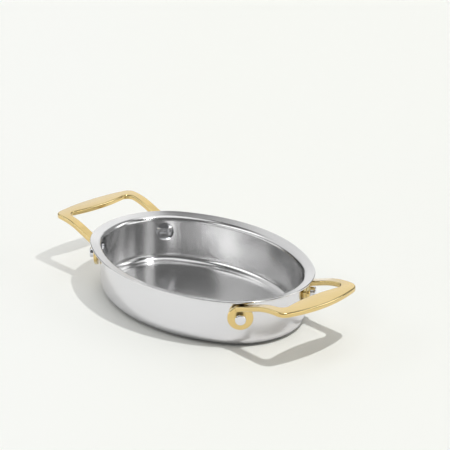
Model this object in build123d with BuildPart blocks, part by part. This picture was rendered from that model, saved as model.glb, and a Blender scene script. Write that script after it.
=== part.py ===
"""Small oval gratin dish with two looped handles.

The dish is one drawn piece of bonded steel sheet. Each handle is a bent bar
that widens into a flat grip and ends in two round eyes. One solid rivet holds
each eye: a domed head inside the dish, a shank through wall and eye, and an
upset head on the outside.

The oval is drawn with four tangent arcs, so that the wall, the base corner
and the lip keep an even thickness and every eye seats on a true cylinder.
+X is the long way of the dish, +Z is up, and the origin is on the ground,
under the middle of the dish.
"""

import os
from math import asin, atan2, cos, degrees, radians, sin, sqrt, tan

from build123d import *

# Dish: length and width are over the lip, in millimetres
dish_length = 190.0
dish_width = 134.0
dish_height = 38.0
sheet = 1.6
base_corner = 7.0
lip_overhang = 7.2
lip_under_radius = 2.0
lip_slope = 16.0  # degrees above the level
end_radius_share = 0.795  # of half the width over the wall

# Rivets
rivet_drop = 13.6  # below the rim
rivet_angle = 41.0  # degrees from +X, seen from the centre of the end arc
shank_diameter = 6.0
shank_clearance = 0.1
seat_clearance = 0.03
inner_head_diameter = 13.4
inner_head_rim = 1.0
inner_head_dome = 1.6
inner_dimple_diameter = 3.6
inner_dimple_depth = 0.4
outer_head_diameter = 7.8
outer_head_height = 3.8
outer_head_round = 0.9

# Handle eyes
eye_diameter = 18.2
eye_thickness = 2.8
eye_edge_round = 0.8
eye_boss_diameter = 12.0
eye_stand_off = 1.4

# Handle bar
handles_length = 258.2
arm_spacing = 66.0
arm_width = 7.4
bar_thickness = 3.8
bar_edge_round = 1.1
arm_slope = 19.3  # degrees
arm_root_rise = 6.6  # above the rivet's axis, where the bar leaves the eye
bend_radius = 66.0
bend_top_inset = 11.2  # from the grip's outer edge
grip_width = 15.4
grip_outer_bow = 115.0
grip_inner_bow = 115.0
grip_outer_corner = 7.5
grip_inner_corner = 5.0

overrun = 5.0

# The oval: half sizes over the wall, then its end and side arcs
wall_half_length = dish_length / 2 - lip_overhang
wall_half_width = dish_width / 2 - lip_overhang
end_radius = wall_half_width * end_radius_share
end_centre = wall_half_length - end_radius
side_radius = (wall_half_length**2 - 2 * wall_half_length * end_radius + wall_half_width**2) / (
    2 * (wall_half_width - end_radius)
)
side_centre = side_radius - wall_half_width
arc_join = degrees(atan2(side_centre, end_centre))

# Each arc: its centre, radius over the wall, start angle and sweep
oval_arcs = (
    ((end_centre, 0), end_radius, -arc_join, 2 * arc_join),
    ((0, -side_centre), side_radius, arc_join, 180 - 2 * arc_join),
    ((-end_centre, 0), end_radius, 180 - arc_join, 2 * arc_join),
    ((0, side_centre), side_radius, 180 + arc_join, 180 - 2 * arc_join),
)

# The lip: a bend out of the wall, a straight flange and a rounded rim
lip_turn = 90 - lip_slope
lip_middle_radius = lip_under_radius + sheet / 2
lip_run = lip_overhang - sheet / 2 - lip_under_radius + lip_middle_radius * cos(radians(lip_turn))
lip_straight = lip_run / cos(radians(lip_slope))
lip_rise = lip_middle_radius * sin(radians(lip_turn)) + lip_straight * sin(radians(lip_slope))
bend_height = dish_height - sheet / 2 - lip_rise

# Where the rivets are: their height, then the side and the angle of each
rivet_height = dish_height - rivet_drop
rivet_places = {
    "rivet_right_back": (1, rivet_angle),
    "rivet_left_back": (-1, 180 - rivet_angle),
    "rivet_left_front": (-1, 180 + rivet_angle),
    "rivet_right_front": (1, -rivet_angle),
}

# The handle's side view: where the ramp starts, and a bend that runs out past the grip
grip_outer = handles_length / 2
grip_inner = grip_outer - grip_width
root_x = end_centre + (end_radius + eye_stand_off) * cos(radians(rivet_angle))
bend_start = grip_outer - bend_top_inset - bend_radius * sin(radians(arm_slope))
bend_turn = arm_slope + degrees(asin((bend_top_inset + overrun) / bend_radius))
ramp_foot = (root_x - overrun, rivet_height + arm_root_rise - overrun * tan(radians(arm_slope)))
ramp_length = (bend_start - root_x + overrun) / cos(radians(arm_slope))

# Rivet, along its axis from the wall's outer face: the dome's top and the outer head's seat
dome_top = -sheet - inner_head_rim - inner_head_dome
dome_radius = (inner_head_diameter**2 / 4 + inner_head_dome**2) / (2 * inner_head_dome)
dome_turn = degrees(asin(inner_head_diameter / 2 / dome_radius))
dimple_radius = (inner_dimple_diameter**2 / 4 + inner_dimple_depth**2) / (2 * inner_dimple_depth)
outer_head_seat = eye_stand_off + eye_thickness


def sheet_section(wall_radius):
    """Outline of the sheet from the floor's edge to the rim: x from the arc's centre, y up."""
    corner_centre = (wall_radius - base_corner, base_corner)
    bend_centre = (wall_radius + lip_under_radius, bend_height)
    outer_corner = CenterArc(corner_centre, base_corner, -90, 90)
    Line(outer_corner @ 1, (wall_radius, bend_height))
    under_bend = CenterArc(bend_centre, lip_under_radius, 180, -lip_turn)
    under_lip = PolarLine(under_bend @ 1, lip_straight, lip_slope)
    rim = JernArc(under_lip @ 1, under_lip % 1, sheet / 2, 180)
    PolarLine(rim @ 1, lip_straight, 180 + lip_slope)
    upper_bend = CenterArc(bend_centre, lip_under_radius + sheet, 90 + lip_slope, lip_turn)
    Line(upper_bend @ 1, (wall_radius - sheet, base_corner))
    inner_corner = CenterArc(corner_centre, base_corner - sheet, 0, -90)
    Line(inner_corner @ 1, outer_corner @ 0)


def loop_outline(middle_x, half_width, bow_radius):
    """Plan of one edge of the loop: two straight sides and a bowed end."""
    fall = abs(bow_radius) - sqrt(bow_radius**2 - half_width**2)
    end_x = middle_x - fall if bow_radius > 0 else middle_x + fall
    Line((0, -half_width), (end_x, -half_width))
    ThreePointArc((end_x, -half_width), (middle_x, 0), (end_x, half_width))
    Line((end_x, half_width), (0, half_width))
    Line((0, half_width), (0, -half_width))


def rivet_axis(side, angle):
    """Axis of one rivet: from the wall's outer face, square to it and outwards."""
    direction = (cos(radians(angle)), sin(radians(angle)), 0)
    foot = (side * end_centre + end_radius * direction[0], end_radius * direction[1], rivet_height)
    return Axis(foot, direction)


def outward_plane(axis, distance=0):
    """Plane square to a rivet's axis, at a distance outside the wall."""
    return Plane(axis.position, x_dir=(0, 0, 1), z_dir=axis.direction).offset(distance)


def lengthwise_plane(axis):
    """Plane through a rivet's axis: x outwards along it, y level."""
    return Plane(axis.position, x_dir=axis.direction, z_dir=(0, 0, 1))


# Dish: wall, corner and lip turned about each arc's centre, round a flat floor
with BuildPart() as dish:
    with BuildSketch():
        with BuildLine():
            for centre, radius, start, turn in oval_arcs:
                CenterArc(centre, radius - base_corner, start, turn)
        make_face()
    extrude(amount=sheet)
    for centre, radius, start, turn in oval_arcs:
        radial = (cos(radians(start)), sin(radians(start)), 0)
        with BuildSketch(Plane((*centre, 0), x_dir=radial, z_dir=(radial[1], -radial[0], 0))):
            with BuildLine():
                sheet_section(radius)
            make_face()
        revolve(axis=Axis((*centre, 0), (0, 0, 1)), revolution_arc=turn)
    for side, angle in rivet_places.values():
        with BuildSketch(outward_plane(rivet_axis(side, angle), -sheet - overrun)):
            Circle(shank_diameter / 2 + shank_clearance)
        extrude(amount=sheet + 2 * overrun, mode=Mode.SUBTRACT)
dish.part.label = "dish"

# Right handle: the plan of the loop, cut to its bent side view, with an eye on each arm
with BuildPart() as handle_right:
    with BuildSketch() as loop_outside:
        with BuildLine():
            loop_outline(grip_outer, (arm_spacing + arm_width) / 2, grip_outer_bow)
        make_face()
        fillet(loop_outside.vertices().group_by(Axis.X)[-1], grip_outer_corner)
    extrude(amount=2 * dish_height)
    with BuildSketch() as loop_inside:
        with BuildLine():
            loop_outline(grip_inner, (arm_spacing - arm_width) / 2, -grip_inner_bow)
        make_face()
        fillet(loop_inside.vertices().group_by(Axis.X)[-1], grip_inner_corner)
    extrude(amount=2 * dish_height, mode=Mode.SUBTRACT)
    with BuildSketch(Plane.XZ):
        with BuildLine():
            ramp = PolarLine(ramp_foot, ramp_length, arm_slope)
            JernArc(ramp @ 1, ramp % 1, bend_radius, -bend_turn)
            offset(amount=bar_thickness / 2, side=Side.BOTH)
        make_face()
    extrude(amount=handles_length, both=True, mode=Mode.INTERSECT)
    upright = handle_right.edges().filter_by(Axis.Z)
    crosswise = handle_right.edges().filter_by(Axis.Y)
    root_faces = handle_right.faces().group_by(Axis.X)[0]
    along = handle_right.edges() - upright - crosswise - root_faces.edges()
    fillet(along, bar_edge_round)
    for axis in (rivet_axis(1, rivet_angle), rivet_axis(1, -rivet_angle)):
        with BuildSketch(outward_plane(axis, eye_stand_off)):
            Rectangle(2 * eye_diameter, 2 * eye_diameter)
        extrude(amount=-2 * eye_diameter, mode=Mode.SUBTRACT)
        with BuildSketch(lengthwise_plane(axis)) as eye_section:
            with Locations((eye_stand_off, 0)):
                Rectangle(eye_thickness, eye_diameter / 2, align=Align.MIN)
                fillet(eye_section.vertices().group_by(Axis.Y)[-1], eye_edge_round)
                Rectangle(eye_stand_off + overrun, eye_boss_diameter / 2, align=(Align.MAX, Align.MIN))
        revolve(axis=axis)
    with BuildSketch():
        with Locations((end_centre, 0)):
            Circle(end_radius + seat_clearance)
    extrude(amount=dish_height, mode=Mode.SUBTRACT)
    for axis in (rivet_axis(1, rivet_angle), rivet_axis(1, -rivet_angle)):
        with BuildSketch(outward_plane(axis, -overrun)):
            Circle(shank_diameter / 2 + shank_clearance)
        extrude(amount=eye_stand_off + eye_thickness + 2 * overrun, mode=Mode.SUBTRACT)
handle_right.part.label = "handle_right"

# Left handle: the same, turned half a turn
with BuildPart() as handle_left:
    add(handle_right.part, rotation=(0, 0, 180))
handle_left.part.label = "handle_left"

# Rivets: an inner head that follows the wall, then the shank and the upset outer head
pieces = [dish.part, handle_right.part, handle_left.part]
for name, (side, angle) in rivet_places.items():
    axis = rivet_axis(side, angle)
    with BuildPart() as rivet:
        with BuildSketch(lengthwise_plane(axis)):
            with BuildLine():
                dome = JernArc((dome_top, 0), (0, 1), dome_radius, -dome_turn)
                Polyline(dome @ 1, (0, inner_head_diameter / 2), (0, 0), (dome_top, 0))
            make_face()
            with Locations((dome_top + inner_dimple_depth - dimple_radius, 0)):
                Circle(dimple_radius, mode=Mode.SUBTRACT)
        revolve(axis=axis)
        with BuildSketch():
            with Locations((side * end_centre, 0)):
                Circle(end_radius - sheet - seat_clearance)
        extrude(amount=dish_height, mode=Mode.INTERSECT)
        with BuildSketch(lengthwise_plane(axis)) as stem_section:
            with Locations((outer_head_seat, 0)):
                Rectangle(outer_head_height, outer_head_diameter / 2, align=Align.MIN)
                fillet(stem_section.vertices().sort_by(SortBy.DISTANCE)[-1], outer_head_round)
                Rectangle(
                    outer_head_seat + sheet + inner_head_rim,
                    shank_diameter / 2,
                    align=(Align.MAX, Align.MIN),
                )
        revolve(axis=axis)
    rivet.part.label = name
    pieces.append(rivet.part)

os.makedirs("parts", exist_ok=True)
for piece in pieces:
    export_step(piece, f"parts/{piece.label}.step")
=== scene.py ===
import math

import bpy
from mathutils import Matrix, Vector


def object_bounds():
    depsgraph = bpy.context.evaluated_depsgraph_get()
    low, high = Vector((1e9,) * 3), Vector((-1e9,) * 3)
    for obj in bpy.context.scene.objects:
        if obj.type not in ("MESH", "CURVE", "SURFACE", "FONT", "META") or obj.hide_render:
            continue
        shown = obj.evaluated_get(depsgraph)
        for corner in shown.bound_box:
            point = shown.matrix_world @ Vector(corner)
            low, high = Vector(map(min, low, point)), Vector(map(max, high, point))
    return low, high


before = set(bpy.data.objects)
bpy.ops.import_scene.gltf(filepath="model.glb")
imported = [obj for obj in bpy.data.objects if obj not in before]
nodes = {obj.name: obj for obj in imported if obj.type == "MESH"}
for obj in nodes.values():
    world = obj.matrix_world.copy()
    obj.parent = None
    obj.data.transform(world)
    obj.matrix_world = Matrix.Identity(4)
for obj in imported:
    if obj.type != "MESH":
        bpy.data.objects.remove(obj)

# %% [markdown]
# A small oval gratin dish
#
# The dish is drawn from bonded steel sheet and has a gold-coloured loop handle
# riveted on at each end. Its shapes come from the frame, in metres: that is the
# dish as it was designed, and no piece of it is moved or reshaped here. This
# lesson dresses it. Each piece gets the finish of the real one, then the dish is
# set on pale paper and lit as in a small studio.

MM = 0.001
designed_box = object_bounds()
lowest, highest = designed_box
print("pieces:", ", ".join(sorted(nodes)))
print("dish as designed, in mm:", [round((high - low) / MM, 1) for low, high in zip(lowest, highest)])

# %% [markdown]
# Blender mixes light in linear values. Colours could be written as those, but
# they are easier to picture and compare as the hex values of a paint chart. So
# one function turns a hex colour into linear light, and every colour in this
# lesson goes through it.


# %% Colours
def linear(hex_colour):
    """Linear RGBA of an sRGB colour such as "f6f7f2", by the curve of the sRGB standard."""
    opaque = 1.0
    shares = [int(hex_colour[i:i + 2], 16) / 255 for i in (0, 2, 4)]
    lights = [s / 12.92 if s <= 0.04045 else ((s + 0.055) / 1.055) ** 2.4 for s in shares]
    return (*lights, opaque)


print("mid grey 808080 is", round(linear("808080")[0], 3), "in linear light")

# %% [markdown]
# A finish is a tree of nodes. Writing every node and link by hand is long, so
# one small function adds a node, sets its attributes, and fills its inputs with
# values or with the outputs of earlier nodes. A value that is the same all over
# is set on the shader's own socket, so that other programs can read it too.


# %% A node with its settings and links
def add_node(tree, kind, inputs=(), **settings):
    """Add a node. inputs: pairs of a socket and a value or an output; settings: its attributes."""
    node = tree.nodes.new(kind)
    for name, value in settings.items():
        setattr(node, name, value)
    for socket, value in inputs:
        if isinstance(value, bpy.types.NodeSocket):
            tree.links.new(value, node.inputs[socket])
        else:
            node.inputs[socket].default_value = value
    return node


def new_finish(name):
    """A material with an empty tree, and that tree."""
    material = bpy.data.materials.new(name)
    material.use_nodes = True
    material.node_tree.nodes.clear()
    print("new finish:", name)
    return material, material.node_tree


print("helpers: a node with its links, and a new finish")

# %% [markdown]
# Brushed stainless steel
#
# The dish is cold-drawn stainless steel, ground with a fine belt that runs round
# the wall and the lip, and lengthwise over the floor. To the eye that gives a
# clean grey mirror that is soft across the lines and sharper along them: lights
# turn into upright bands on the wall. Blender's Principled shader does this with
# its anisotropy, if it is told which way the lines run. A UV map could hold that
# way, but a designed solid has none. On anything but the flat floor it is level
# and along the surface, so it is the cross product of the upright direction and
# the surface's normal, whose length is the sine of the slope. A Mix node then
# chooses between the floor and the slopes. It has sockets of its own for each
# type of data, so those for vectors are picked by their numbers.

# %% Which way the belt ran
steel, steel_tree = new_finish("brushed_stainless_steel")
upright = (0.0, 0.0, 1.0)
lengthwise = (1.0, 0.0, 0.0)
flat_below = 0.02
sloping_above = 0.12
first_vector = 4
second_vector = 5
mixed_vector = 1
geometry = add_node(steel_tree, "ShaderNodeNewGeometry")
round_the_wall = add_node(steel_tree, "ShaderNodeVectorMath", [
    (0, upright), (1, geometry.outputs["Normal"])], operation="CROSS_PRODUCT")
steepness = add_node(steel_tree, "ShaderNodeVectorMath", [
    (0, round_the_wall.outputs[0])], operation="LENGTH")
on_the_slope = add_node(steel_tree, "ShaderNodeMapRange", [
    ("Value", steepness.outputs["Value"]), ("From Min", flat_below), ("From Max", sloping_above)])
belt_way = add_node(steel_tree, "ShaderNodeMix", [
    ("Factor", on_the_slope.outputs["Result"]),
    (first_vector, lengthwise),
    (second_vector, round_the_wall.outputs[0])], data_type="VECTOR")
belt_direction = add_node(steel_tree, "ShaderNodeVectorMath", [
    (0, belt_way.outputs[mixed_vector])], operation="NORMALIZE")
print("steel: the belt ran lengthwise up to a slope of", flat_below, "and round the dish from", sloping_above)

# %% [markdown]
# A picture of scratches could draw the lines, but it would need a UV map too, and
# would repeat. Noise needs neither, so they are noise, stretched far along the
# belt's way. Real grit lines are about 0.05 mm apart, too fine to show from here,
# so they are drawn 0.5 mm apart and kept faint. On the wall, the cove and the lip
# the lines are level, so they change with the height. On the flat floor they
# change across it.

# %% The belt's lines
line_spacing = 0.5 * MM
line_length = 40 * MM
place = add_node(steel_tree, "ShaderNodeTexCoord")
level_lines = add_node(steel_tree, "ShaderNodeMapping", [
    ("Vector", place.outputs["Object"]),
    ("Scale", (1 / line_length, 1 / line_length, 1 / line_spacing))])
floor_lines = add_node(steel_tree, "ShaderNodeMapping", [
    ("Vector", place.outputs["Object"]),
    ("Scale", (1 / line_length, 1 / line_spacing, 1 / line_length))])
line_place = add_node(steel_tree, "ShaderNodeMix", [
    ("Factor", on_the_slope.outputs["Result"]),
    (first_vector, floor_lines.outputs[0]),
    (second_vector, level_lines.outputs[0])], data_type="VECTOR")
belt_lines = add_node(steel_tree, "ShaderNodeTexNoise", [
    ("Vector", line_place.outputs[mixed_vector]), ("Scale", 1.0), ("Detail", 3.0), ("Roughness", 0.6)])
print("steel: lines", round(line_spacing / MM, 2), "mm apart and", round(line_length / MM), "mm long")

# %% [markdown]
# Hands and a cloth leave a steel dish less even than the belt did: some places
# are a little duller, a few centimetres at a time. Such patches could be painted
# on by hand, but a slow noise is as uneven and quicker to change. The roughness
# is the belt's, a little higher on the crests of its lines, plus that of the
# patches. Noise seldom goes all the way from 0 to 1, so its usual range is
# spread over the roughness that is wanted.

# %% Wiped patches and the range of roughness
belt_roughness = (0.16, 0.19)
patch_roughness = 0.04
patch_size = 35 * MM
noise_range = (0.3, 0.7)
patch_noise_range = (0.35, 0.65)
patches = add_node(steel_tree, "ShaderNodeTexNoise", [
    ("Vector", place.outputs["Object"]), ("Scale", 1 / patch_size), ("Detail", 2.0)])
roughness_from_lines = add_node(steel_tree, "ShaderNodeMapRange", [
    ("Value", belt_lines.outputs["Fac"]),
    ("From Min", noise_range[0]), ("From Max", noise_range[1]),
    ("To Min", belt_roughness[0]), ("To Max", belt_roughness[1])])
roughness_from_patches = add_node(steel_tree, "ShaderNodeMapRange", [
    ("Value", patches.outputs["Fac"]),
    ("From Min", patch_noise_range[0]), ("From Max", patch_noise_range[1]),
    ("To Max", patch_roughness)])
wiped_roughness = add_node(steel_tree, "ShaderNodeMath", [
    (0, roughness_from_lines.outputs["Result"]),
    (1, roughness_from_patches.outputs["Result"])], operation="ADD")
most_roughness = round(belt_roughness[1] + patch_roughness, 2)
print("steel: roughness", belt_roughness[0], "to", most_roughness, "before any wear")

# %% [markdown]
# Use shows first at the edges. The edge of the lip is rubbed smooth by hands and
# cloths. A mask for it could be painted on the mesh. But the lip's edge is the
# highest part of the dish, so its height finds it, on any mesh.

# %% The rubbed lip
rubbed_depth = 1.0 * MM
height = add_node(steel_tree, "ShaderNodeSeparateXYZ", [(0, place.outputs["Object"])]).outputs["Z"]
rim_height = max(corner.co.z for corner in nodes["dish"].data.vertices)
rubbed_lip = add_node(steel_tree, "ShaderNodeMapRange", [
    ("Value", height), ("From Min", rim_height - rubbed_depth), ("From Max", rim_height)])
print("steel: rubbed over the last", round(rubbed_depth / MM, 1), "mm of", round(rim_height / MM, 1), "mm")

# %% [markdown]
# Underneath, and round the edge it stands on, the dish is scuffed by oven
# shelves: duller and patchy. The same place is painted darker, a painted shade
# for the dark floor under the dish that the base mirrors. That is found by height
# too, and by the normal, which points down or sideways there: the floor inside is
# as low, but points up. Fine patches give the scuffing and the shade a broken
# border.

# %% The scuffed base, with painted shade
scuff_and_shade_size = 3 * MM
scuff_and_shade_unevenness = 2 * MM
scuff_and_shade_starts = 6.5 * MM
scuff_and_shade_full = 1.5 * MM
turned_up = 0.05
scuff_and_shade_patches = add_node(steel_tree, "ShaderNodeTexNoise", [
    ("Vector", place.outputs["Object"]), ("Scale", 1 / scuff_and_shade_size), ("Detail", 3.0)])
scuff_and_shade_height = add_node(steel_tree, "ShaderNodeMath", [
    (0, scuff_and_shade_patches.outputs["Fac"]), (1, scuff_and_shade_unevenness), (2, height)], operation="MULTIPLY_ADD")
scuffed_and_shaded_low = add_node(steel_tree, "ShaderNodeMapRange", [
    ("Value", scuff_and_shade_height.outputs[0]), ("From Min", scuff_and_shade_starts), ("From Max", scuff_and_shade_full)])
facing = add_node(steel_tree, "ShaderNodeSeparateXYZ", [(0, geometry.outputs["Normal"])])
outside = add_node(steel_tree, "ShaderNodeMapRange", [
    ("Value", facing.outputs["Z"]), ("From Min", turned_up), ("From Max", -turned_up)])
# This mask marks both the scuffing and a painted shade round the base.
scuffed_and_shaded_base = add_node(steel_tree, "ShaderNodeMath", [
    (0, scuffed_and_shaded_low.outputs["Result"]), (1, outside.outputs["Result"])], operation="MULTIPLY")
print("steel: scuffed outside, up to", round(scuff_and_shade_starts / MM, 1), "mm above the base")

# %% [markdown]
# Rubbing takes a little off the steel's roughness and scuffing adds a little, so
# both are added to what the belt and the cloth left, as far as each is there.

# %% The steel's roughness, with its wear
rubbing_smooths = 0.04
scuffing_dulls = 0.05
rubbed_roughness = add_node(steel_tree, "ShaderNodeMath", [
    (0, rubbed_lip.outputs["Result"]), (1, -rubbing_smooths),
    (2, wiped_roughness.outputs[0])], operation="MULTIPLY_ADD")
steel_roughness = add_node(steel_tree, "ShaderNodeMath", [
    (0, scuffed_and_shaded_base.outputs[0]), (1, scuffing_dulls),
    (2, rubbed_roughness.outputs[0])], operation="MULTIPLY_ADD")
least_roughness = round(belt_roughness[0] - rubbing_smooths, 2)
print("steel: roughness", least_roughness, "to", round(most_roughness + scuffing_dulls, 2), "with its wear")

# %% [markdown]
# Bare stainless steel reflects six to seven tenths of the light, almost without
# a tint. Its colours here are brighter, three quarters to eight tenths in linear
# light, to match the dish in the photograph. The lines darken it by a hair where
# they are deep, and a very low bump lets them catch the light. Round the base it
# is painted darker, a painted shade for the dark floor that the base mirrors. The
# shader stretches a highlight along its tangent. A belt's lines stretch it the
# other way, across themselves, so the anisotropy is turned by a quarter.

# %% The steel's surface
line_colours = ("e2e2e2", "eaeaea")
scuffed_and_shaded_colour = "969695"
line_depth = 0.003 * MM
quarter_turn = 0.25
first_colour = 6
second_colour = 7
mixed_colour = 2
lined_colour = add_node(steel_tree, "ShaderNodeMix", [
    ("Factor", belt_lines.outputs["Fac"]),
    (first_colour, linear(line_colours[0])),
    (second_colour, linear(line_colours[1]))], data_type="RGBA")
# The base is painted darker here: scuffing, and painted shade for the dark floor it mirrors.
steel_colour = add_node(steel_tree, "ShaderNodeMix", [
    ("Factor", scuffed_and_shaded_base.outputs[0]),
    (first_colour, lined_colour.outputs[mixed_colour]),
    (second_colour, linear(scuffed_and_shaded_colour))], data_type="RGBA")
steel_bump = add_node(steel_tree, "ShaderNodeBump", [
    ("Strength", 0.5), ("Distance", line_depth), ("Height", belt_lines.outputs["Fac"])])
steel_surface = add_node(steel_tree, "ShaderNodeBsdfPrincipled", [
    ("Base Color", steel_colour.outputs[mixed_colour]),
    ("Metallic", 1.0),
    ("Roughness", steel_roughness.outputs[0]),
    ("Anisotropic", 0.6),
    ("Anisotropic Rotation", quarter_turn),
    ("Tangent", belt_direction.outputs[0]),
    ("Normal", steel_bump.outputs[0])])
add_node(steel_tree, "ShaderNodeOutputMaterial", [("Surface", steel_surface.outputs[0])])
print("steel: colours", line_colours, "and", scuffed_and_shaded_colour, "where it is scuffed")

# %% [markdown]
# Gold-coloured coating on satin steel
#
# The handles are cast steel, ground and bead-blasted to a satin, then coated in
# a vacuum with a gold-coloured nitride, a few thousandths of a millimetre thick.
# The eye sees a warm, pale gold with soft highlights, which turns paler still
# where it is seen at a low angle. Two colours could be mixed for that, but a
# metal under a thin clear coat does it by itself: the coat adds white at low
# angles only. The blasting is a fine pitting, really about 0.05 mm across, drawn
# 0.4 mm across so that it shows at all.

# %% The gold's grain
gold, gold_tree = new_finish("gold_nitride_on_satin_steel")
pit_size = 0.4 * MM
tone_size = 18 * MM
gold_place = add_node(gold_tree, "ShaderNodeTexCoord")
pits = add_node(gold_tree, "ShaderNodeTexNoise", [
    ("Vector", gold_place.outputs["Object"]), ("Scale", 1 / pit_size), ("Detail", 2.0)])
tones = add_node(gold_tree, "ShaderNodeTexNoise", [
    ("Vector", gold_place.outputs["Object"]), ("Scale", 1 / tone_size), ("Detail", 3.0)])
print("gold: pits", round(pit_size / MM, 2), "mm across, tones", round(tone_size / MM), "mm across")

# %% [markdown]
# Where the bar's edges are rubbed by cloths, the coating is polished a little
# smoother. Their colour is painted paler too: partly that rubbing, partly a
# painted highlight along the edges. Blender can find edges by how pointed they
# are, but that changes with the mesh. The bar lies almost level, so its faces
# point up, down or sideways, and only its rounded edges point in between. The
# upright part of the normal tells them apart: it is near 1 on a top, near 0 on a
# side, and about 0.6 in the middle of an edge.

# %% The gold's rubbed and highlit edges
edge_middle = 0.62
edge_gone_beyond = 0.26
edge_full_within = 0.1
gold_geometry = add_node(gold_tree, "ShaderNodeNewGeometry")
gold_facing = add_node(gold_tree, "ShaderNodeSeparateXYZ", [(0, gold_geometry.outputs["Normal"])])
up_or_down = add_node(gold_tree, "ShaderNodeMath", [(0, gold_facing.outputs["Z"])], operation="ABSOLUTE")
from_middle = add_node(gold_tree, "ShaderNodeMath", [
    (0, up_or_down.outputs[0]), (1, edge_middle)], operation="SUBTRACT")
edge_distance = add_node(gold_tree, "ShaderNodeMath", [(0, from_middle.outputs[0])], operation="ABSOLUTE")
rubbed_and_highlit_edge = add_node(gold_tree, "ShaderNodeMapRange", [
    ("Value", edge_distance.outputs[0]),
    ("From Min", edge_gone_beyond), ("From Max", edge_full_within)])
edge_slope = round(math.degrees(math.acos(edge_middle)))
print("gold: rubbed where the bar's edge slopes by about", edge_slope, "degrees")

# %% [markdown]
# The coating is never quite even: it is a touch redder or greener from place to
# place, by the heat of the part in the chamber. Two close colours are mixed by a
# slow noise, and the rubbed edges, painted paler as a highlight too, are mixed in
# over them.

# %% The gold's colours
tone_colours = ("ddbe72", "ebd08c")
rubbed_and_highlit_gold = "f3e0a6"
gold_tones = add_node(gold_tree, "ShaderNodeMix", [
    ("Factor", tones.outputs["Fac"]),
    (first_colour, linear(tone_colours[0])),
    (second_colour, linear(tone_colours[1]))], data_type="RGBA")
# Paler on the edges: rubbed, and a painted highlight.
gold_colour = add_node(gold_tree, "ShaderNodeMix", [
    ("Factor", rubbed_and_highlit_edge.outputs["Result"]),
    (first_colour, gold_tones.outputs[mixed_colour]),
    (second_colour, linear(rubbed_and_highlit_gold))], data_type="RGBA")
print("gold: colours", tone_colours, "and", rubbed_and_highlit_gold, "where it is rubbed")

# %% [markdown]
# The pits set how rough the gold is, and the rubbed edges are smoother. A low
# bump from the same pits gives each its own glint. The clear coat is as rough as
# the satin below it: a glossy one would look like varnish.

# %% The gold's surface
pit_roughness = (0.18, 0.23)
edge_smooths = 0.06
coat_roughness = 0.18
pit_depth = 0.004 * MM
gold_from_pits = add_node(gold_tree, "ShaderNodeMapRange", [
    ("Value", pits.outputs["Fac"]),
    ("From Min", noise_range[0]), ("From Max", noise_range[1]),
    ("To Min", pit_roughness[0]), ("To Max", pit_roughness[1])])
gold_roughness = add_node(gold_tree, "ShaderNodeMath", [
    (0, rubbed_and_highlit_edge.outputs["Result"]), (1, -edge_smooths),
    (2, gold_from_pits.outputs["Result"])], operation="MULTIPLY_ADD")
gold_bump = add_node(gold_tree, "ShaderNodeBump", [
    ("Strength", 0.4), ("Distance", pit_depth), ("Height", pits.outputs["Fac"])])
gold_surface = add_node(gold_tree, "ShaderNodeBsdfPrincipled", [
    ("Base Color", gold_colour.outputs[mixed_colour]),
    ("Metallic", 1.0),
    ("Roughness", gold_roughness.outputs[0]),
    ("Coat Weight", 1.0),
    ("Coat Roughness", coat_roughness),
    ("Normal", gold_bump.outputs[0])])
add_node(gold_tree, "ShaderNodeOutputMaterial", [("Surface", gold_surface.outputs[0])])
print("gold: roughness", pit_roughness[0], "to", pit_roughness[1], "and", edge_smooths, "less on its edges")

# %% [markdown]
# Polished steel
#
# The rivets are headed cold from steel wire, then tumbled and polished, so they
# are the brightest and sharpest mirrors on the dish. The heading leaves faint
# ripples, and tumbling leaves tiny dents, about 1.5 mm across: enough to bend
# the reflections a little, so that they don't look computed. They could be
# modelled, but they are a hundredth of a millimetre deep, which is work for a
# bump.

# %% The rivets' surface
polished, polished_tree = new_finish("tumbled_polished_steel")
dent_size = 1.5 * MM
dent_depth = 0.01 * MM
dent_colours = ("dedfe2", "e8e8e9")
dent_roughness = (0.07, 0.13)
rivet_place = add_node(polished_tree, "ShaderNodeTexCoord")
dents = add_node(polished_tree, "ShaderNodeTexNoise", [
    ("Vector", rivet_place.outputs["Object"]), ("Scale", 1 / dent_size), ("Detail", 1.0)])
rivet_colour = add_node(polished_tree, "ShaderNodeMix", [
    ("Factor", dents.outputs["Fac"]),
    (first_colour, linear(dent_colours[0])),
    (second_colour, linear(dent_colours[1]))], data_type="RGBA")
rivet_roughness = add_node(polished_tree, "ShaderNodeMapRange", [
    ("Value", dents.outputs["Fac"]),
    ("From Min", noise_range[0]), ("From Max", noise_range[1]),
    ("To Min", dent_roughness[0]), ("To Max", dent_roughness[1])])
rivet_bump = add_node(polished_tree, "ShaderNodeBump", [
    ("Strength", 0.5), ("Distance", dent_depth), ("Height", dents.outputs["Fac"])])
rivet_surface = add_node(polished_tree, "ShaderNodeBsdfPrincipled", [
    ("Base Color", rivet_colour.outputs[mixed_colour]),
    ("Metallic", 1.0),
    ("Roughness", rivet_roughness.outputs["Result"]),
    ("Normal", rivet_bump.outputs[0])])
add_node(polished_tree, "ShaderNodeOutputMaterial", [("Surface", rivet_surface.outputs[0])])
print("rivets: roughness", dent_roughness[0], "to", dent_roughness[1])

# %% [markdown]
# Each piece takes its finish from its kind: the sheet, the handles, the rivets.
# The finishes could be given out by hand, but the names of the pieces say which
# kind they are, so a loop does it. Only the material changes, not the mesh.

# %% Dress the pieces
for name, node in nodes.items():
    if name == "dish":
        finish = steel
    elif name.startswith("handle"):
        finish = gold
    else:
        finish = polished
    node.data.materials.clear()
    node.data.materials.append(finish)
    print(name, "is", finish.name)

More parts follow.
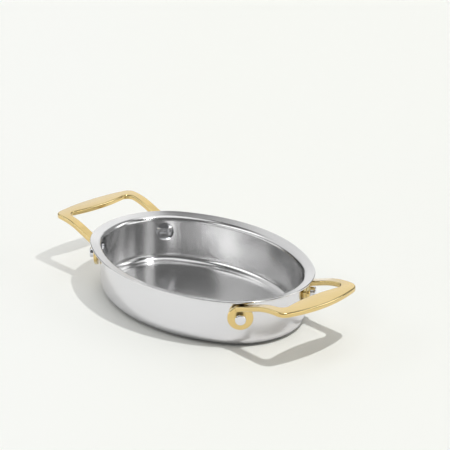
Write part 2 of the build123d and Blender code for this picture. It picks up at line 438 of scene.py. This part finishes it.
# %% [markdown]
# Studio light
#
# A metal is only as good as what it reflects. Area lights could stand round the
# dish, but a mirror shows their hard edges, and a picture of a studio would have
# to be loaded. So the studio is drawn in the world, with nodes. The direction of
# a ray is split into its compass part, which is the same for every height, and
# its height, the sine of its elevation. With those two, a panel of light is a
# window: so far to the left and right, from this height to that.

# %% The room's directions
world = bpy.data.worlds.new("studio_room")
bpy.context.scene.world = world
world.use_nodes = True
room = world.node_tree
room.nodes.clear()
level_part = (1.0, 1.0, 0.0)
look = add_node(room, "ShaderNodeTexCoord")
look_parts = add_node(room, "ShaderNodeSeparateXYZ", [(0, look.outputs["Generated"])])
look_height = look_parts.outputs["Z"]
flat_look = add_node(room, "ShaderNodeVectorMath", [
    (0, look.outputs["Generated"]), (1, level_part)], operation="MULTIPLY")
compass = add_node(room, "ShaderNodeVectorMath", [(0, flat_look.outputs[0])], operation="NORMALIZE")
print("room: direction split into compass and height")

# %% [markdown]
# The room itself is nearly black, and panels are added to it. White walls and a
# pale backdrop behind the dish are what its lip mirrors. The windows on the right
# and the reflectors on the left reach the inside of the wall only after a second
# mirror image in the floor: they draw the bright bands there. The panel in the
# ceiling mainly lights the paper. Each panel has a compass direction and half its
# width, its lowest and highest elevation, the softness of its edges, all in
# degrees, and its level, where 1 is the light of white paper.

# %% The panels
room_level = 0.04
panels = {
    "white_wall": (159, 53, 22, 49, 6, 0.75),
    "skylight": (127, 10, 46, 64, 4, 0.6),
    "backdrop": (138, 24, -8, 23, 6, 0.66),
    "pale_screen": (149, 11, -8, 20, 4, 0.17),
    "ceiling_panel": (95, 180, 64, 90, 5, 1.1),
    "strip_light": (6, 21, -13, 16, 5, 2.1),
    "narrow_window": (50, 7.5, 12, 50, 2, 2.4),
    "side_window": (-12, 9, 18, 42, 3, 0.6),
    "corner_window": (28, 10, 18, 42, 3, 0.75),
    "right_wall": (98, 45, 10, 58, 14, 0.26),
    "low_reflector": (-119, 37, -13, 10, 4, 1.9),
    "high_reflector": (-125, 23, 29, 46, 5, 2.0),
    "front_wall": (-72, 52, 5, 58, 10, 0.10),
}
print("room:", len(panels), "panels in a room of level", room_level)

# %% [markdown]
# Each edge of a panel is a smooth step from dark to light. The height of a ray is
# the sine of its elevation, so the lower and the upper edge are steps in it. Both
# sides are one step, because the compass part of a ray times the direction of the
# panel's middle is the cosine of the turn between them, and the cosine of an
# angle is the sine of what it lacks to a right angle. A panel that reaches
# straight up needs no upper edge, and one that goes all round needs no sides.

# %% The edges of a panel
right_angle = 90
all_round = 180


def soft_edge(sine, dark_angle, light_angle):
    """A smooth step from 0 to 1, as the angle with this sine goes from dark to light."""
    step = add_node(room, "ShaderNodeMapRange", [
        ("Value", sine),
        ("From Min", math.sin(math.radians(dark_angle))),
        ("From Max", math.sin(math.radians(light_angle)))], interpolation_type="SMOOTHSTEP")
    return step.outputs["Result"]


def panel_edges(towards, half_width, low, high, soft):
    """The soft edges of a panel, from its angles in degrees."""
    edges = [soft_edge(look_height, low - soft, low + soft)]
    if high < right_angle:
        edges.append(soft_edge(look_height, high + soft, high - soft))
    if half_width < all_round:
        middle = (math.cos(math.radians(towards)), math.sin(math.radians(towards)), 0.0)
        turn = add_node(room, "ShaderNodeVectorMath", [
            (0, compass.outputs[0]), (1, middle)], operation="DOT_PRODUCT")
        side = right_angle - half_width
        edges.append(soft_edge(turn.outputs["Value"], side - soft, side + soft))
    return edges


print("room: an edge half way up is a step at a height of", round(math.sin(math.radians(right_angle / 2)), 2))

# %% [markdown]
# The product of a panel's edges is 1 inside it and 0 outside. Times the panel's
# level it is added to what the room already gives, panel after panel.

# %% The light of the room
level = room_level
for name, (towards, half_width, low, high, soft, panel_level) in panels.items():
    window, *other_edges = panel_edges(towards, half_width, low, high, soft)
    for edge in other_edges:
        window = add_node(room, "ShaderNodeMath", [(0, window), (1, edge)], operation="MULTIPLY").outputs[0]
    level = add_node(room, "ShaderNodeMath", [
        (0, window), (1, panel_level), (2, level)], operation="MULTIPLY_ADD").outputs[0]
    print("room:", name, "at level", panel_level)

# %% [markdown]
# The camera itself doesn't see this room. Past the paper's edge it sees plain
# paper white. A white wall could stand there instead, but the steel would mirror
# it, and this way the dish's light stays as it is.

# %% The room, and the white that the camera sees
room_white = "fafafa"
paper_white = "f6f7f2"
ray = add_node(room, "ShaderNodeLightPath")
room_light = add_node(room, "ShaderNodeBackground", [("Color", linear(room_white)), ("Strength", level)])
seen_white = add_node(room, "ShaderNodeBackground", [("Color", linear(paper_white)), ("Strength", 1.0)])
seen_room = add_node(room, "ShaderNodeMixShader", [
    (0, ray.outputs["Is Camera Ray"]), (1, room_light.outputs[0]), (2, seen_white.outputs[0])])
add_node(room, "ShaderNodeOutputWorld", [("Surface", seen_room.outputs[0])])
print("room: white", room_white, "and the camera sees", paper_white)

# %% [markdown]
# The lamp
#
# One small hard lamp, high on the right, draws the crisp shadows of the rim and
# of both handles. Its place was worked out from those shadows: a point and its
# shadow lie on one line with the lamp, so two such lines meet in it.
#
# Steel mirrors such a lamp as a tiny, very bright dot, which makes specks instead
# of a glow. So the lamp is two lights in one place: a small one for everything
# but reflections, and a larger, weaker round one for reflections alone.

# %% The lamp's two lights
lamp_place = Vector((0.385, 0.027, 0.900))
lamp_watts = 16.0
lamp_radius = 12 * MM
softbox_watts = 7.0
softbox_radius = 50 * MM


def round_lamp(name, watts, radius):
    """A round light with this power and radius, at the lamp's place."""
    light = bpy.data.lights.new(name, "POINT")
    light.energy = watts
    light.shadow_soft_size = radius
    lamp = bpy.data.objects.new(name, light)
    lamp.location = lamp_place
    bpy.context.scene.collection.objects.link(lamp)
    print("lamp:", name, "with", watts, "W at", [round(value, 3) for value in lamp_place])
    return lamp


small_lamp = round_lamp("small_lamp", lamp_watts, lamp_radius)
small_lamp.visible_glossy = False
softbox = round_lamp("round_softbox", softbox_watts, softbox_radius)
softbox.visible_diffuse = False

# %% [markdown]
# Paper
#
# The dish stands on uncoated white paper. A near lamp lights paper unevenly, and
# in a studio the sweep is lit again until it looks the same all over. More lamps
# could do that here, but each would draw shadows of its own. So the paper's
# colour is divided by the light that falls on it: the lamp's share plus the
# room's. A lamp of P watts at a height h gives white paper at a distance d the
# level P h / (4 pi^2 d^3). The shadows stay, because a shadow is where that
# light is missing.

# %% How bright the lamp makes the paper
paper, paper_tree = new_finish("white_uncoated_paper")
room_share = 0.59
lamp_strength = lamp_watts * lamp_place.z / (4 * math.pi ** 2)
falling_with_the_cube = -3.0
spot = add_node(paper_tree, "ShaderNodeNewGeometry")
to_lamp = add_node(paper_tree, "ShaderNodeVectorMath", [
    (0, spot.outputs["Position"]), (1, tuple(lamp_place))], operation="DISTANCE")
lamp_fall = add_node(paper_tree, "ShaderNodeMath", [
    (0, to_lamp.outputs["Value"]), (1, falling_with_the_cube)], operation="POWER")
paper_level = add_node(paper_tree, "ShaderNodeMath", [
    (0, lamp_fall.outputs[0]), (1, lamp_strength), (2, room_share)], operation="MULTIPLY_ADD")
evening_out = add_node(paper_tree, "ShaderNodeMath", [
    (0, 1.0), (1, paper_level.outputs[0])], operation="DIVIDE")
print("paper: the lamp's level under the lamp is", round(lamp_strength / lamp_place.z ** 3, 2))

# %% [markdown]
# Paper is a felt of thin fibres, a millimetre or so long, which give it a faint
# tooth. A noise of 0.8 mm stands for them, in a bump that hardly shows. Only the
# camera and the reflections see the evened colour, and the steel mirrors it as a
# neutral white. For light that bounces off it, it is plain white paper.

# %% The paper's surface
fibre_size = 0.8 * MM
fibre_depth = 0.01 * MM
mirrored_white = "f5f5f5"
fibres = add_node(paper_tree, "ShaderNodeTexNoise", [
    ("Vector", spot.outputs["Position"]), ("Scale", 1 / fibre_size), ("Detail", 3.0)])
paper_bump = add_node(paper_tree, "ShaderNodeBump", [
    ("Strength", 0.3), ("Distance", fibre_depth), ("Height", fibres.outputs["Fac"])])
paper_ray = add_node(paper_tree, "ShaderNodeLightPath")
seen_colour = add_node(paper_tree, "ShaderNodeMix", [
    ("Factor", paper_ray.outputs["Is Camera Ray"]),
    (first_colour, linear(mirrored_white)),
    (second_colour, linear(paper_white))], data_type="RGBA")
even_colour = add_node(paper_tree, "ShaderNodeVectorMath", [
    (0, seen_colour.outputs[mixed_colour]), ("Scale", evening_out.outputs[0])], operation="SCALE")
even_paper = add_node(paper_tree, "ShaderNodeBsdfDiffuse", [
    ("Color", even_colour.outputs[0]), ("Normal", paper_bump.outputs[0])])
plain_paper = add_node(paper_tree, "ShaderNodeBsdfDiffuse", [("Color", linear(paper_white))])
seen_directly = add_node(paper_tree, "ShaderNodeMath", [
    (0, paper_ray.outputs["Is Camera Ray"]),
    (1, paper_ray.outputs["Is Glossy Ray"])], operation="MAXIMUM")
lit_paper = add_node(paper_tree, "ShaderNodeMixShader", [
    (0, seen_directly.outputs[0]), (1, plain_paper.outputs[0]), (2, even_paper.outputs[0])])
print("paper:", paper_white, "with a tooth of", round(fibre_size / MM, 1), "mm")

# %% [markdown]
# The shadows on the left are paler than those on the right, because a large pale
# surface stands on that side. A large lamp could stand for it, but the steel
# would mirror that. So its light is mixed into the paper, as a small glow of its
# own, which grows from the dish's middle towards the left. Close under the dish
# it can't reach, so the glow fades out where other surfaces are within about a
# centimetre.

# %% The fill light from the left
fill_compass = math.radians(-132)
fill_way = (math.cos(fill_compass), math.sin(fill_compass), 0.0)
fill_full_at = 125 * MM
fill_shares = (0.02, 0.40)
fill_blocked_within = 12 * MM
fill_white = "f8f9f7"
along_fill = add_node(paper_tree, "ShaderNodeVectorMath", [
    (0, spot.outputs["Position"]), (1, fill_way)], operation="DOT_PRODUCT")
fill_share = add_node(paper_tree, "ShaderNodeMapRange", [
    ("Value", along_fill.outputs["Value"]), ("From Max", fill_full_at),
    ("To Min", fill_shares[0]), ("To Max", fill_shares[1])])
openness = add_node(paper_tree, "ShaderNodeAmbientOcclusion", [("Distance", fill_blocked_within)])
open_fill = add_node(paper_tree, "ShaderNodeMath", [
    (0, fill_share.outputs["Result"]), (1, openness.outputs["AO"])], operation="MULTIPLY")
seen_fill = add_node(paper_tree, "ShaderNodeMath", [
    (0, open_fill.outputs[0]), (1, seen_directly.outputs[0])], operation="MULTIPLY")
fill_light = add_node(paper_tree, "ShaderNodeEmission", [("Color", linear(fill_white)), ("Strength", 1.0)])
seen_paper = add_node(paper_tree, "ShaderNodeMixShader", [
    (0, seen_fill.outputs[0]), (1, lit_paper.outputs[0]), (2, fill_light.outputs[0])])
add_node(paper_tree, "ShaderNodeOutputMaterial", [("Surface", seen_paper.outputs[0])])
print("fill: a share of", fill_shares[0], "on the right, up to", fill_shares[1], "on the left")

# %% [markdown]
# A studio's paper curves up behind the dish. From above, the camera sees only the
# flat part, so one large flat sheet does, and no edge of it is in view. It needs
# a single face, whose four corners are listed one by one.

# %% Lay the paper
paper_half = 4.0
corners = [(-paper_half, -paper_half, 0), (paper_half, -paper_half, 0),
           (paper_half, paper_half, 0), (-paper_half, paper_half, 0)]
paper_mesh = bpy.data.meshes.new("paper")
paper_mesh.from_pydata(corners, [], [(0, 1, 2, 3)])
paper_mesh.materials.append(paper)
sheet_of_paper = bpy.data.objects.new("paper", paper_mesh)
bpy.context.scene.collection.objects.link(sheet_of_paper)
print("paper:", 2 * paper_half, "m square")

# %% [markdown]
# Camera
#
# The camera looks down at the dish from the front right, from a metre and a half
# away with a long lens, so the far handle is hardly smaller than the near one.
# It could be placed by eye, but a dish is judged by its oval, and that changes
# with every degree. So its direction and distance come from the oval of the rim
# and from the spacing of the handles in the photograph. Then it moves sideways,
# up and down until the dish's origin falls where the photograph has it.

# %% Direction and place of the camera
azimuth = math.radians(47.77)
elevation = math.radians(22.28)
distance = 1.60049
frame_pixels = 450
focal_pixels = 2194.8
origin_pixel = (200.92, 302.03)
towards_camera = Vector((
    math.sin(azimuth) * math.cos(elevation),
    -math.cos(azimuth) * math.cos(elevation),
    math.sin(elevation)))
turned = towards_camera.to_track_quat("Z", "Y")
rightwards = turned @ Vector((1, 0, 0))
upwards = turned @ Vector((0, 1, 0))
sideways = (origin_pixel[0] - frame_pixels / 2) / focal_pixels * distance
downwards = (origin_pixel[1] - frame_pixels / 2) / focal_pixels * distance
camera_place = towards_camera * distance - rightwards * sideways + upwards * downwards
print("camera at", [round(value, 3) for value in camera_place])

# %% [markdown]
# A lens is as many times longer than the sensor is wide as its focal length in
# pixels is longer than the frame. The view transform Standard shows a colour as
# it is written, without a film's soft curve.

# %% The camera and its lens
camera_data = bpy.data.cameras.new("camera")
camera_data.sensor_width = 36.0
camera_data.lens = focal_pixels / frame_pixels * camera_data.sensor_width
camera_data.clip_end = 20.0
camera = bpy.data.objects.new("camera", camera_data)
camera.rotation_mode = "QUATERNION"
camera.rotation_quaternion = turned
camera.location = camera_place
bpy.context.scene.collection.objects.link(camera)
bpy.context.scene.camera = camera
bpy.context.scene.view_settings.view_transform = "Standard"
print("lens:", round(camera_data.lens, 1), "mm")
